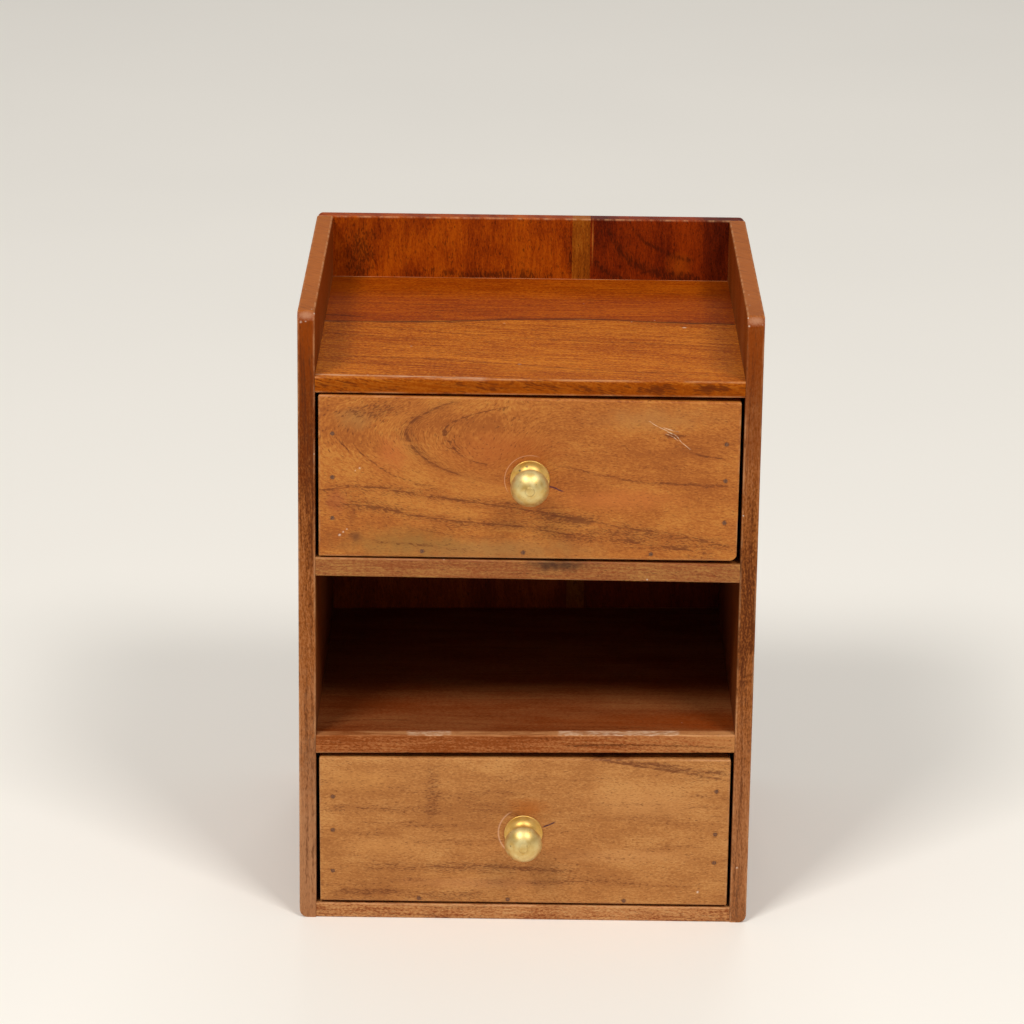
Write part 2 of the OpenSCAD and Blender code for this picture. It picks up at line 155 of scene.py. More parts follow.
# Lays a tint over a colour where the mask is 1
def glaze(tree, colour, mask, tint, strength):
    share = addNode(tree, "Math", [mask, strength], operation="MULTIPLY", use_clamp=True)
    return addNode(tree, "Mix", [share, colour, linearColour(tint)], data_type="RGBA")


# 1 between two ends of a range and 0 outside it, with soft ends
def spanMask(tree, value, low, high, soft):
    rise = addNode(
        tree, "MapRange", [value, low - soft, low + soft, 0.0, 1.0], interpolation_type="SMOOTHSTEP")
    fall = addNode(
        tree, "MapRange", [value, high - soft, high + soft, 1.0, 0.0], interpolation_type="SMOOTHSTEP")
    return addNode(tree, "Math", [rise, fall], operation="MULTIPLY")


# 1 only where all the masks are 1
def overlap(tree, *masks):
    mask = masks[0]
    for other in masks[1:]:
        mask = addNode(tree, "Math", [mask, other], operation="MULTIPLY")
    return mask


# 1 on a line of no width, falling to 0 at the given distance from it
def lineMask(tree, value, level, width):
    off = addNode(tree, "Math", [value, level], operation="SUBTRACT")
    off = addNode(tree, "Math", [off], operation="ABSOLUTE")
    return addNode(tree, "MapRange", [off, 0.0, width, 1.0, 0.0], interpolation_type="SMOOTHSTEP")


# Marks: each gives a mask from 0 to 1. This one follows a growth line
def growthLine(tree, places, mark):
    thin = lineMask(tree, places["line"], mark["level"], mark["width"])
    patch = sharedNoise(tree, places, "longPatch")
    patch = addNode(tree, "MapRange", [patch, 0.3, 0.62, mark.get("broken", 0.2), 1.0])
    span = spanMask(tree, places["along"], *mark["span"], mark.get("soft", 12))
    return overlap(tree, thin, patch, span)


# A line through points (run, rise) in mm, on the axes that the mark names
def streak(tree, places, mark):
    runs = [p[0] for p in mark["points"]]
    rises = [p[1] for p in mark["points"]]
    low, high = min(rises) - 1.0, max(rises) + 1.0
    run, rise = (places[a] for a in mark["axes"])
    share = addNode(tree, "MapRange", [run, runs[0], runs[-1], 0.0, 1.0])
    curve = addNode(tree, "FloatCurve", {"Value": share})
    dots = curve.mapping.curves[0].points
    for i, (a, b) in enumerate(mark["points"]):
        place = ((a - runs[0]) / (runs[-1] - runs[0]), (b - low) / (high - low))
        if i in (0, len(runs) - 1):
            dots[0 if i == 0 else -1].location = place
        else:
            dots.new(*place)
    curve.mapping.update()
    level = addNode(tree, "MapRange", [curve, 0.0, 1.0, low, high])
    wobble = sharedNoise(tree, places, mark.get("waves", "wave"))
    reach = mark.get("wobble", 0.3)
    wobble = addNode(tree, "MapRange", [wobble, 0.2, 0.8, -reach, reach])
    level = addNode(tree, "Math", [level, wobble], operation="ADD")
    thin = lineMask(tree, rise, level, mark["width"])
    span = spanMask(tree, run, runs[0], runs[-1], mark.get("soft", 1.0))
    patch = sharedNoise(tree, places, mark.get("patch", "patch"))
    patch = addNode(tree, "MapRange", [patch, 0.35, 0.6, mark.get("broken", 0.5), 1.0])
    mask = overlap(tree, thin, span, patch)
    return overlap(tree, mask, places["skin"]) if mark.get("skin") else mask


# A soft spot about a point, with its own radius on x, y and z
def spot(tree, places, mark):
    off = addNode(tree, "VectorMath", [places["point"], mark["at"]], operation="SUBTRACT")
    off = addNode(tree, "VectorMath", [off, mark["radii"]], operation="DIVIDE")
    size = addNode(tree, "VectorMath", [off], operation="LENGTH").outputs["Value"]
    grit = sharedNoise(tree, places, mark.get("grit", "blot"))
    rag = mark.get("rag", 0.8)
    size = addNode(tree, "Math", [grit, rag, size], operation="MULTIPLY_ADD")
    edge = 1.0 + 0.5 * rag
    return addNode(
        tree, "MapRange", [size, edge * mark.get("core", 0.3), edge, 1.0, 0.0],
        interpolation_type="SMOOTHSTEP")


def spotAt(at, radii, **look):
    return {"draw": spot, "at": at, "radii": radii, **look}


# A streak in the way of the given one, through points, with its width in mm and its strength
def stroke(way, points, width, strength, **look):
    return {**way, "points": points, "width": width, "strength": strength, **look}


# Part of a circle scratched round a knob
def ringScratch(tree, places, mark):
    flat = addNode(tree, "CombineXYZ", [places["x"], 0.0, places["z"]])
    off = addNode(tree, "VectorMath", [flat, (mark["at"][0], 0, mark["at"][1])], operation="SUBTRACT")
    size = addNode(tree, "VectorMath", [off], operation="LENGTH").outputs["Value"]
    thin = lineMask(tree, size, mark["radius"], mark["width"])
    split = addNode(tree, "SeparateXYZ", [off])
    turn = addNode(tree, "Math", [split.outputs["Z"], split.outputs["X"]], operation="ARCTAN2")
    turn = addNode(tree, "Math", [turn, 0.0, 2 * math.pi], operation="WRAP")
    span = spanMask(tree, turn, math.radians(mark["turn"][0]), math.radians(mark["turn"][1]), 0.2)
    return overlap(tree, thin, span, places["skin"])


# 1 on the edges of a box and 0 away from them. An axis that is left out has no edges
def edgeMask(tree, places, low, high, axes, width):
    centre = [(a + b) / 2 for a, b in zip(low, high)]
    half = [(b - a) / 2 if name in axes else 1000 for a, b, name in zip(low, high, "xyz")]
    away = addNode(tree, "VectorMath", [places["point"], centre], operation="SUBTRACT")
    away = addNode(tree, "VectorMath", [away], operation="ABSOLUTE")
    depth = addNode(tree, "VectorMath", [half, away], operation="SUBTRACT")
    a, b, c = addNode(tree, "SeparateXYZ", [depth]).outputs
    low2 = addNode(tree, "Math", [a, b], operation="MINIMUM")
    high2 = addNode(tree, "Math", [a, b], operation="MAXIMUM")
    high2 = addNode(tree, "Math", [high2, c], operation="MINIMUM")
    second = addNode(tree, "Math", [low2, high2], operation="MAXIMUM")
    return addNode(tree, "MapRange", [second, 0.0, width, 1.0, 0.0], interpolation_type="SMOOTHSTEP")


# 1 in a region given as (axis, low, high, softness) for each axis that bounds it
def regionMask(tree, places, region):
    masks = [spanMask(tree, places[axis], low, high, soft) for axis, low, high, soft in region]
    return overlap(tree, *masks)


# What a wood is where its own dictionary says nothing else. Periods are in mm along and across the
# growth lines, shares say how far zone, glow, thread and grit move the tone, edges are noise levels
commonWood = {
    "seed": 0.0, "zonePeriods": (120, 22), "glowPeriods": (60, 40), "threadPeriods": (16, 0.9),
    "gritPeriods": (1.6, 0.7), "ringPeriods": (90, 3.2), "poreSize": (1.9, 0.42),
    "shares": (1.0, 0.8, 0.9, 1.1), "toneEnds": (0.22, 0.78), "ringEdge": (0.5, 0.76),
    "poreEdge": (0.6, 0.74), "rings": 0.45, "lateShare": 0.42, "crowding": 0.3, "pores": 0.6, "rough": 0.5,
    "sheen": 0.18, "bump": {"strength": 0.3, "depth": 0.1, "pores": 0.6}, "zones": (), "lines": (),
    "marks": (),
}


# Tropical hardwood, planed, stained and wax polished: smooth zones of tan and orange, growth lines
# made of short dark pores, a fine speckle and a satin sheen, paler along its edges from wear and a
# painted highlight, with painted shade inside the case. Real pores are about 0.2 mm wide, and they
# are drawn twice as coarse so that they show
def stainedWood(name, wood):
    material, tree = newTree(name)
    wood = {**commonWood, **wood}
    places = woodPlaces(tree, wood["axes"], wood["seed"])
    if "skin" in wood:
        places["skin"] = regionMask(tree, places, [wood["skin"]])
    line = growthField(tree, places, {**commonFigure, **wood["figure"]})
    places["line"] = line
    zone = grainNoise(tree, places, line, wood["zonePeriods"], 1.0, 2.0)
    glow = grainNoise(tree, places, places["across"], wood["glowPeriods"], 5.0, 2.0)
    thread = grainNoise(tree, places, line, wood["threadPeriods"], 3.0, 3.0, 0.65)
    grit = grainNoise(tree, places, line, wood["gritPeriods"], 9.0, 2.0, 0.6)
    shares = wood["shares"]
    value = 0.5 - 0.5 * sum(shares)
    for layer, share in zip((zone, glow, thread, grit), shares):
        value = addNode(tree, "Math", [layer, share, value], operation="MULTIPLY_ADD")
    ramp = addNode(tree, "ValToRGB", [value])
    stops = ramp.color_ramp.elements
    stops[0].position, stops[1].position = wood["toneEnds"]
    stops[0].color, stops[1].color = linearColour(wood["dark"]), linearColour(wood["light"])
    stops.new(0.5).color = linearColour(wood["mid"])
    colour = ramp
    for mark in wood["zones"]:
        colour = glaze(tree, colour, mark["draw"](tree, places, mark), mark["tint"], mark["strength"])
    rings = grainNoise(tree, places, line, wood["ringPeriods"], 2.0, 3.0, 0.6)
    rings = addNode(tree, "MapRange", [rings, *wood["ringEdge"], 0.0, 1.0], interpolation_type="SMOOTHSTEP")
    density = addNode(tree, "Math", [rings, wood["rings"]], operation="MULTIPLY")
    for mark in wood["lines"]:
        mask = mark["draw"](tree, places, mark)
        density = addNode(tree, "Math", [mask, mark["strength"], density], operation="MULTIPLY_ADD")
    colour = glaze(tree, colour, density, wood["late"], wood["lateShare"])
    poreNoise = grainNoise(tree, places, line, wood["poreSize"], 6.0, 1.0)
    pores = addNode(tree, "Math", [density, wood["crowding"], poreNoise], operation="MULTIPLY_ADD")
    pores = addNode(tree, "MapRange", [pores, *wood["poreEdge"], 0.0, 1.0], interpolation_type="SMOOTHSTEP")
    colour = glaze(tree, colour, pores, wood["pore"], wood["pores"])
    # Painted shade: the inside of the case tinted darker, where the compartments lie in shadow
    if "shadedInside" in wood:
        shadedInside = regionMask(tree, places, wood["shadedInside"])
        colour = glaze(tree, colour, shadedInside, wood["insideShadeTint"], 0.6)
    for mark in wood["marks"]:
        colour = glaze(tree, colour, mark["draw"](tree, places, mark), mark["tint"], mark["strength"])
    # Edges paler: wear, and a painted highlight where the edges catch the light
    if "worn" in wood:
        worn = wood["worn"]
        edge = edgeMask(tree, places, *worn["box"], worn["axes"], worn["width"])
        edgePatches = grainNoise(tree, places, places["across"], (22, 5), 7.0, 4.0, 0.65)
        edgePatches = addNode(
            tree, "MapRange", [edgePatches, 0.4, 0.62, worn.get("even", 0.1), 1.0], interpolation_type="SMOOTHSTEP")
        colour = glaze(tree, colour, overlap(tree, edge, edgePatches), worn["tint"], worn["strength"])
    rough = wood["rough"]
    gloss = addNode(tree, "MapRange", [thread, 0.3, 0.7, rough - 0.05, rough + 0.05])
    relief = wood["bump"]
    height = addNode(tree, "Math", [poreNoise, -relief["pores"], thread], operation="MULTIPLY_ADD")
    bump = addNode(
        tree, "Bump", {"Height": height, "Strength": relief["strength"], "Distance": relief["depth"] * mm})
    shader = addNode(tree, "BsdfPrincipled", {
        "Base Color": colour, "Roughness": gloss, "Normal": bump, "Specular IOR Level": wood["sheen"]})
    addNode(tree, "OutputMaterial", [shader])
    return material


def boxMm(node):
    low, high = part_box(node)
    return [tuple(v / mm for v in low), tuple(v / mm for v in high)]


def setMaterial(piece, material):
    piece.data.materials.clear()
    piece.data.materials.append(material)


# Woods of the case. Axes are along, across and through the grain
innerLow, innerHigh = boxMm("bottom_board")
innerX = innerHigh[0]
backFrontY = boxMm("back_plank_left")[0][1]
# Inside of the case, from 97 mm behind the front to the back and from the bottom board to the top: it gets
# painted shade, a darker tint where the compartments lie in shadow
shadedInsideCase = [
    ("x", -innerX - 0.1, innerX + 0.1, 0.1), ("y", -97, backFrontY + 0.1, 3),
    ("z", innerHigh[2] - 0.1, boxMm("top_plank_front")[0][2] + 0.1, 0.1),
]
walnutTones = {
    "finish": "waxed_hardwood", "dark": "#84421a", "mid": "#a95c28", "light": "#bd7438", "late": "#5c2a10",
    "pore": "#4e240c", "shadedInside": shadedInsideCase, "insideShadeTint": "#5e1c00",
}
# Paler edges of the boards: wear and a painted highlight
rubbedLitEdge = {"width": 1.3, "tint": "#dfa674", "strength": 0.5}
sideWood = {
    **walnutTones, "dark": "#5c2c0e", "mid": "#8e4f20", "light": "#a5673a", "axes": "zyx",
    "figure": {"slope": 0.012, "sway": 5, "tilt": 0.9}, "worn": {**rubbedLitEdge, "axes": "xyz"}, "seed": 11.0,
    "glowPeriods": (110, 40), "ringPeriods": (160, 2.6), "rings": 0.55, "threadPeriods": (30, 0.9),
    "poreSize": (3.5, 0.45), "pores": 0.5, "sheen": 0.06,
    "zones": [
        spotAt((-110, -102, 30), (30, 60, 120), tint="#b1805a", strength=0.6),
        spotAt((-110, -102, 300), (30, 60, 100), tint="#6c2b00", strength=0.85),
        spotAt((-110, 30, 326), (60, 300, 60), tint="#8a3a02", strength=0.9, rag=0.3),
        spotAt((-110, 0, 328), (60, 400, 9), tint="#c0702a", strength=0.85, rag=0.2),
    ],
}
crossWood = {
    **walnutTones, "axes": "xyz", "figure": {"slope": 0.02, "tilt": 0.9},
    "worn": {**rubbedLitEdge, "axes": "yz"}, "seed": 23.0,
}
backWood = {
    **walnutTones, "dark": "#732501", "mid": "#983b01", "light": "#b45103", "late": "#3c1404",
    "pore": "#380f02", "axes": "zxy", "figure": {"slope": 0.03, "sway": 6, "ripple": 1.6, "tilt": 0.8},
    "seed": 31.0, "worn": {**rubbedLitEdge, "axes": "yz"}, "poreSize": (2.4, 0.8), "pores": 0.55,
    "rings": 0.25, "glowPeriods": (26, 16), "threadPeriods": (10, 1.5), "shares": (0.7, 0.85, 0.8, 0.7),
    "sheen": 0.08,
}
backSwirl = {"draw": streak, "axes": "xz", "wobble": 0.8, "soft": 3}
topFrontY = boxMm("top_plank_front")[0][1]
topZ = boxMm("top_plank_front")[1][2]
topGrain = {"threadPeriods": (34, 0.8), "poreSize": (5.0, 0.5), "ringPeriods": (140, 2.0), "sheen": 0.03,
            "shares": (0.7, 0.5, 1.9, 1.9), "pores": 0.7}
topTones = {"dark": "#8f3f06", "mid": "#b0580e", "light": "#c87420", "late": "#642608", "pore": "#5a2408"}


# The joint of the two top planks, as the dark line that runs along it
def onTop(points):
    return [(-innerX + a, topFrontY + b) for a, b in points]


jointLine = onTop(
    [(0, 104.5), (24, 104), (40, 104.5), (80, 109), (112, 113), (144, 114), (170, 110), (212.4, 108)])
topStreak = {"draw": streak, "axes": "xy"}
jointMarks = [
    stroke(
        topStreak, jointLine, 1.7, 0.9, wobble=0.5, tint="#2c140a", broken=0.6, patch="longPatch", soft=0.2),
    stroke(
        topStreak, jointLine, 4.0, 0.5, wobble=1.2, tint="#5a2812", broken=0.3, patch="longPatch", soft=0.2),
]
topLines = [
    stroke(topStreak, onTop([(12, 38), (46, 36), (60, 33)]), 2.0, 0.6, soft=6),
    stroke(topStreak, onTop([(60, 34), (92, 28), (130, 20), (180, 13), (212, 9)]), 2.4, 0.45, soft=8),
    stroke(
        topStreak, onTop([(30, 92), (60, 85), (90, 78), (130, 72), (170, 68), (200, 64)]), 1.8, 0.5, soft=8),
    stroke(topStreak, onTop([(8, 96), (26, 93), (46, 92)]), 1.4, 0.4, soft=4),
    stroke(topStreak, onTop([(58, 107), (70, 102), (76, 98)]), 1.6, 0.5, soft=4),
    stroke(topStreak, onTop([(78, 107), (86, 103), (92, 100)]), 1.4, 0.5, soft=4),
]
rearLines = [
    stroke(topStreak, onTop([(0, 117.5), (8, 116), (19, 113)]), 1.6, 0.9, soft=2),
    stroke(topStreak, onTop([(42, 125), (60, 127.5), (80, 130)]), 0.9, 0.6, soft=4),
    spotAt((-innerX + 58, topFrontY + 117, 289), (3.2, 2.4, 9), strength=0.7, grit="crumb", rag=1.4),
    stroke(topStreak, onTop([(48, 112), (55, 120), (66, 121), (74, 116)]), 1.0, 0.5, soft=3),
    stroke(topStreak, onTop([(88, 112), (98, 115), (106, 117)]), 1.2, 0.7, soft=3),
]


def chip(x, y, z, size, tint="#f0dcc4", strength=0.9, flat=1.0):
    return spotAt(
        (x, y, z), (size, size * flat, size), tint=tint, strength=strength, grit="crumb", rag=0.9, core=0.2)


topChips = [
    chip(-innerX + a, topFrontY + b, 290, size, strength=power)
    for a, b, size, power in (
        (26, 4, 0.9, 0.9), (101, 27, 1.3, 0.35), (46, 58, 1.0, 0.35), (93, 104, 1.0, 0.45),
        (186, 100, 1.6, 0.75), (159, 110, 0.8, 0.5), (171, 113.5, 0.8, 0.45), (134.5, 145, 0.7, 0.45),
        (199.5, 97, 0.8, 0.4),
    )
]
topWear = [
    stroke(
        topStreak, onTop([(0, 4), (20, 3.2), (50, 2.6), (84, 1.0)]), 2.2, 0.7, wobble=0.8, tint="#d9a884",
        broken=0.15, patch="longPatch", soft=4, skin=True),
]
glueLines = [
    stroke(
        topStreak, [(-innerX, backFrontY - 0.5), (0, backFrontY - 0.5), (innerX, backFrontY - 0.5)], 0.8,
        0.6, wobble=0.4, tint="#d08a66", broken=0.1, patch="longPatch"),
]
topEdgeLines = [
    spotAt((x, topFrontY, z), (wide, 9, high), strength=power, rag=1.4)
    for x, z, wide, high, power in (
        (-100, 286, 30, 5, 0.4), (0, 286, 60, 4, 0.35), (62, 285, 14, 4, 1.2), (90, 286, 18, 3, 1.3),
        (34, 284, 10, 2.5, 0.8), (-70, 284, 12, 2, 0.6), (-20, 285, 14, 2, 0.5),
    )
]

upright = {
    "draw": streak, "axes": "zx", "soft": 10, "wobble": 0.4, "patch": "longPatch", "waves": "longWave",
}
leftLines = [
    stroke(upright, [(186, -106.9), (240, -109.6), (303, -112.2)], 0.9, 1.0),
    stroke(upright, [(196, -108.8), (250, -111.4), (310, -113.6)], 0.8, 0.8),
    stroke(upright, [(110, -107.6), (170, -108.6), (230, -107.2)], 1.2, 0.6),
    stroke(upright, [(20, -111.5), (90, -110.6), (150, -111.4)], 0.9, 0.6),
    stroke(upright, [(10, -108.4), (50, -108.0), (100, -109.2)], 0.8, 0.5),
]
rightLines = [
    stroke(upright, [(240, 108.2), (270, 108.8), (304, 109.6)], 0.7, 0.6),
    stroke(upright, [(130, 109.0), (180, 110.5), (230, 111.8)], 1.0, 0.7),
    stroke(upright, [(60, 111.0), (100, 110.0), (150, 108.6)], 1.2, 0.8),
    stroke(upright, [(14, 108.2), (50, 109.4), (84, 111.2)], 0.9, 0.6),
]
shelfStreak = {"draw": streak, "axes": "xz", "wobble": 0.4}
sideFacet = {
    "draw": spot, "radii": (6.5, 3.4, 3.2), "tint": "#c08a68", "strength": 0.6, "rag": 0.6, "grit": "crumb",
}
leftMarks = [
    dict(sideFacet, at=(-110.5, -100.8, 320.6)), chip(-113.2, -102.4, 317.6, 0.9, strength=0.5),
    chip(-110.8, -102.4, 317.9, 0.6, strength=0.5), chip(-107.4, -101.6, 318.6, 0.7, strength=0.6),
    chip(-106.7, -100.4, 321.4, 0.7, strength=0.6), chip(-106.7, -102.4, 249.8, 0.6),
    chip(-108.0, -98, 323, 0.6, strength=0.7), chip(-113, -60, 323, 0.5, strength=0.6),
]
rightMarks = [
    dict(sideFacet, at=(110.5, -100.8, 320.6)), chip(107.2, -102.2, 318.3, 0.8, strength=0.6),
    chip(113.8, -101.6, 318.8, 0.6, strength=0.5), chip(106.7, -100.2, 321.8, 0.6),
    chip(107.2, -102.4, 220.4, 0.6), chip(109, -60, 323, 0.6, strength=0.6),
    chip(108.5, -80, 323, 0.5, strength=0.6), chip(109.5, -102.4, 30.5, 0.8, strength=0.6, flat=0.6),
]

woods = {
    "side_left": {**sideWood, "lines": leftLines, "marks": leftMarks},
    "side_right": {
        **sideWood, "seed": 13.0, "lines": rightLines, "marks": rightMarks,
        "zones": [
            {**zone, "at": (110, *zone["at"][1:]), "strength": power * zone["strength"]}
            for zone, power in zip(sideWood["zones"], (0.4, 0.85, 0.85, 0.85))
        ],
    },
    "top_plank_front": {
        **crossWood, **topTones, "figure": {"slope": 0.13, "sway": 5, "tilt": 0.7},
        "lines": topLines + topEdgeLines, "marks": jointMarks + topWear + topChips,
        "zonePeriods": (160, 30), "rings": 0.5, "skin": ("z", topZ - 1.2, topZ + 1, 0.3), **topGrain,
        "zones": [spotAt((0, topFrontY, 284), (400, 2.6, 9), tint="#8a3e02", strength=0.75, rag=0.2)],
    },
    "top_plank_rear": {
        **crossWood, **topTones, "dark": "#853102", "mid": "#9f4404", "light": "#b15609", "late": "#54200a",
        "pore": "#4c1c08", "figure": {"slope": 0.01, "sway": 3, "tilt": 0.7}, "lines": rearLines,
        "marks": jointMarks + topChips + glueLines, "rings": 0.5, **topGrain,
        # Painted shade: the rear plank darker at both ends, in the corners against the sides
        "zones": [
            spotAt((112, 60, 289), (26, 60, 30), tint="#6e2204", strength=0.75),
            spotAt((-108, 70, 289), (20, 70, 30), tint="#7a2c04", strength=0.5),
        ],
    },
    "upper_shelf": {
        **crossWood, "seed": 25.0, "mid": "#94582a", "light": "#a87238",
        "marks": [
            spotAt((15, -102, 193), (26, 12, 5.0), tint="#2e1a0e", strength=0.8, rag=1.1),
            chip(60, -102.3, 186, 0.7, strength=0.6), chip(-42, -101.8, 195.2, 0.6, strength=0.7),
        ],
    },
    "lower_shelf": {
        **crossWood, "seed": 27.0, "mid": "#a26034", "light": "#b47844", "skin": ("y", -103, -96, 1.0),
        "sheen": 0.02,
        "zones": [spotAt((0, -84, 105), (400, 24, 4), tint="#c8560c", strength=0.8, rag=0.2)],
        "threadPeriods": (30, 1.0),
        "marks": [
            # Paler line along the top of the front edge: wear and a painted highlight
            stroke(
                shelfStreak, [(-106, 100.1), (0, 101.5), (106, 103)], 0.7, 0.5, tint="#d89860", broken=0.2,
                patch="longPatch", skin=True, soft=0.5),
            stroke(
                shelfStreak, [(17, 101.7), (40, 102.1), (60, 102.4), (78, 102.6)], 0.35, 0.6,
                tint="#e8c8a8", broken=0.0, patch="shortPatch", skin=True),
            stroke(
                shelfStreak, [(-60, 100.8), (-50, 100.9), (-38, 101.1)], 0.35, 0.5, tint="#e8c8a8",
                broken=0.0, patch="shortPatch", skin=True),
            chip(80, -84, 103, 0.7, strength=0.5), chip(70, -92, 103, 0.6, strength=0.5),
        ],
        "lines": [
            stroke(shelfStreak, [(-104, -84), (-70, -80), (-55, -86)], 1.6, 0.8, axes="xy", soft=8),
            stroke(shelfStreak, [(-100, -93), (-76, -89), (-60, -90)], 1.0, 0.8, axes="xy", soft=6),
            stroke(shelfStreak, [(-20, -90), (20, -94), (60, -91)], 1.4, 0.6, axes="xy", soft=8),
            stroke(shelfStreak, [(20, 96), (60, 97), (104, 96)], 1.0, 0.8, soft=8),
        ],
    },
    "bottom_board": {**crossWood, "mid": "#b57844", "light": "#c6925d", "seed": 29.0},
    "back_plank_left": {
        **backWood,
        "lines": [
            spotAt((22.7, backFrontY, 311), (1.6, 6, 4), strength=1.4, grit="crumb"),
            spotAt((21.5, backFrontY, 300), (1.4, 6, 8), strength=0.9),
            spotAt((-20, backFrontY, 291), (70, 6, 5), strength=0.9, rag=1.4),
            spotAt((-92, backFrontY, 302), (12, 6, 26), strength=0.8, rag=1.0),
        ],
    },
    "back_strip": {**backWood, "mid": "#934908", "light": "#a86115", "dark": "#703304", "seed": 33.0},
    "back_plank_right": {
        **backWood, "dark": "#551401", "mid": "#762401", "light": "#933301", "seed": 35.0,
        "lines": [
            stroke(backSwirl, [(40, 324), (46, 309), (56, 299), (72, 293), (92, 290)], 5.0, 0.9),
            stroke(backSwirl, [(52, 326), (58, 314), (70, 306), (88, 300)], 2.6, 0.7),
            stroke(backSwirl, [(34, 300), (44, 292), (54, 288)], 4.0, 0.9),
        ],
        "zones": [spotAt((80, backFrontY, 298), (9, 6, 10), tint="#a84c06", strength=0.5)],
        "marks": [spotAt((33.2, backFrontY, 312), (0.7, 6, 18), tint="#c8762c", strength=0.7)],
    },
    "back_plank_end": {**backWood, "dark": "#481001", "mid": "#651c01", "light": "#7d2901", "seed": 37.0},
}

# Woods of the drawer fronts
upperBox = boxMm("upper_front")
lowerBox = boxMm("lower_front")
frontTones = {
    "finish": "waxed_hardwood", "dark": "#9a541e", "mid": "#ae6527", "light": "#bc7833", "late": "#6e3010",
    "pore": "#5a280e", "shares": (0.9, 0.9, 0.6, 1.3), "glowPeriods": (26, 18), "threadPeriods": (9, 0.8),
}
paleMark = "#f0d6b4"
upperKnobAt = (0.5, 238.15)
lowerKnobAt = (-0.3, 48.25)
frontStreak = {"draw": streak, "axes": "xz"}
growth = {"draw": growthLine}
foldOuter = [
    (238.0, -27.3), (242.0, -40.2), (247.2, -50.3), (254.7, -58.2), (260.8, -61.1), (266.9, -58.2),
    (272.3, -50.3), (277.5, -38.8),
]
foldInner = [
    (245.6, -21.6), (249.6, -33.0), (255.7, -38.8), (262.5, -42.4), (265.6, -40.2), (269.5, -33.0),
    (273.1, -21.6), (276.6, -4.3),
]
longUpper = [
    (-103.5, 231.1), (-81.9, 232.9), (-57.5, 230.0), (-35.9, 226.8), (-14.4, 223.9), (-1.4, 221.8),
    (21.5, 217.9), (50.3, 213.1), (79.0, 208.5), (102.0, 203.7),
]
longLower = [
    (-99.1, 224.6), (-79.0, 222.8), (-57.5, 218.5), (-35.9, 215.6), (-14.4, 214.3), (7.2, 211.2),
    (35.9, 208.1), (64.7, 204.1), (93.4, 199.5),
]
acrossFold = {"draw": streak, "axes": "zx", "soft": 4, "wobble": 0.7}
upperLines = [
    stroke(acrossFold, foldOuter, 1.5, 0.75, broken=0.1), stroke(acrossFold, foldOuter, 8.0, 0.5),
    stroke(acrossFold, foldInner, 1.2, 1.1, broken=0.1), stroke(acrossFold, foldInner, 6.0, 0.3),
    dict(growth, level=5.0, width=1.6, strength=0.4, span=(-78, -30)),
    dict(growth, level=-3.6, width=1.6, strength=0.35, span=(-60, -20)),
    dict(growth, level=-20.0, width=1.4, strength=0.35, span=(-30, 16)),
    dict(growth, level=-26.4, width=1.4, strength=0.5, span=(-14, 12)),
    stroke(frontStreak, longUpper, 0.9, 0.9, wobble=0.8, soft=8, broken=0.0),
    stroke(frontStreak, longUpper, 5.5, 0.45, wobble=1.0, soft=8, broken=0.1, patch="longPatch"),
    stroke(frontStreak, longLower, 1.0, 0.8, wobble=0.8, soft=8, broken=0.0),
    stroke(frontStreak, longLower, 6.5, 0.6, wobble=1.0, soft=8, broken=0.15, patch="longPatch"),
    spotAt((45, -98, 211), (40, 20, 4), strength=0.35, rag=1.0),
    stroke(
        frontStreak, [(-80.5, 249.2), (-70.4, 240.9), (-57.5, 235.7), (-44.5, 232.0)], 1.2, 0.6, wobble=0.8,
        soft=4, broken=0.0, patch="shortPatch"),
    stroke(
        frontStreak, [(15.8, 245.1), (35.9, 240.7), (57.5, 237.3), (79.0, 236.0), (99.9, 235.6)], 1.4, 0.75,
        wobble=0.7, soft=6, broken=0.3),
    stroke(frontStreak, [(79, 253.5), (88, 251), (97, 250)], 1.0, 0.9, soft=2),
    spotAt((72.5, -98, 261.5), (8, 20, 2.2), strength=1.1),
    spotAt((78, -98, 254), (12, 20, 5), strength=0.35),
    spotAt((-78, -98, 273), (22, 20, 7), strength=0.75, rag=1.4),
    spotAt((22, -98, 217), (20, 20, 6), strength=0.8, rag=1.2),
    stroke(frontStreak, [(-96.5, 259), (-93, 255.5), (-89, 250.5)], 1.1, 1.1, wobble=0.6),
    stroke(frontStreak, [(-86, 253.5), (-84, 251), (-82, 249)], 0.9, 0.9, wobble=0.4),
]


# Soft zones of another tone on a front: x, z, half width, half height, tint, strength, raggedness
def frontZones(rows):
    return [
        spotAt((x, -98, z), (wide, 20, high), tint=tint, strength=strength, rag=rag)
        for x, z, wide, high, tint, strength, rag in rows
    ]


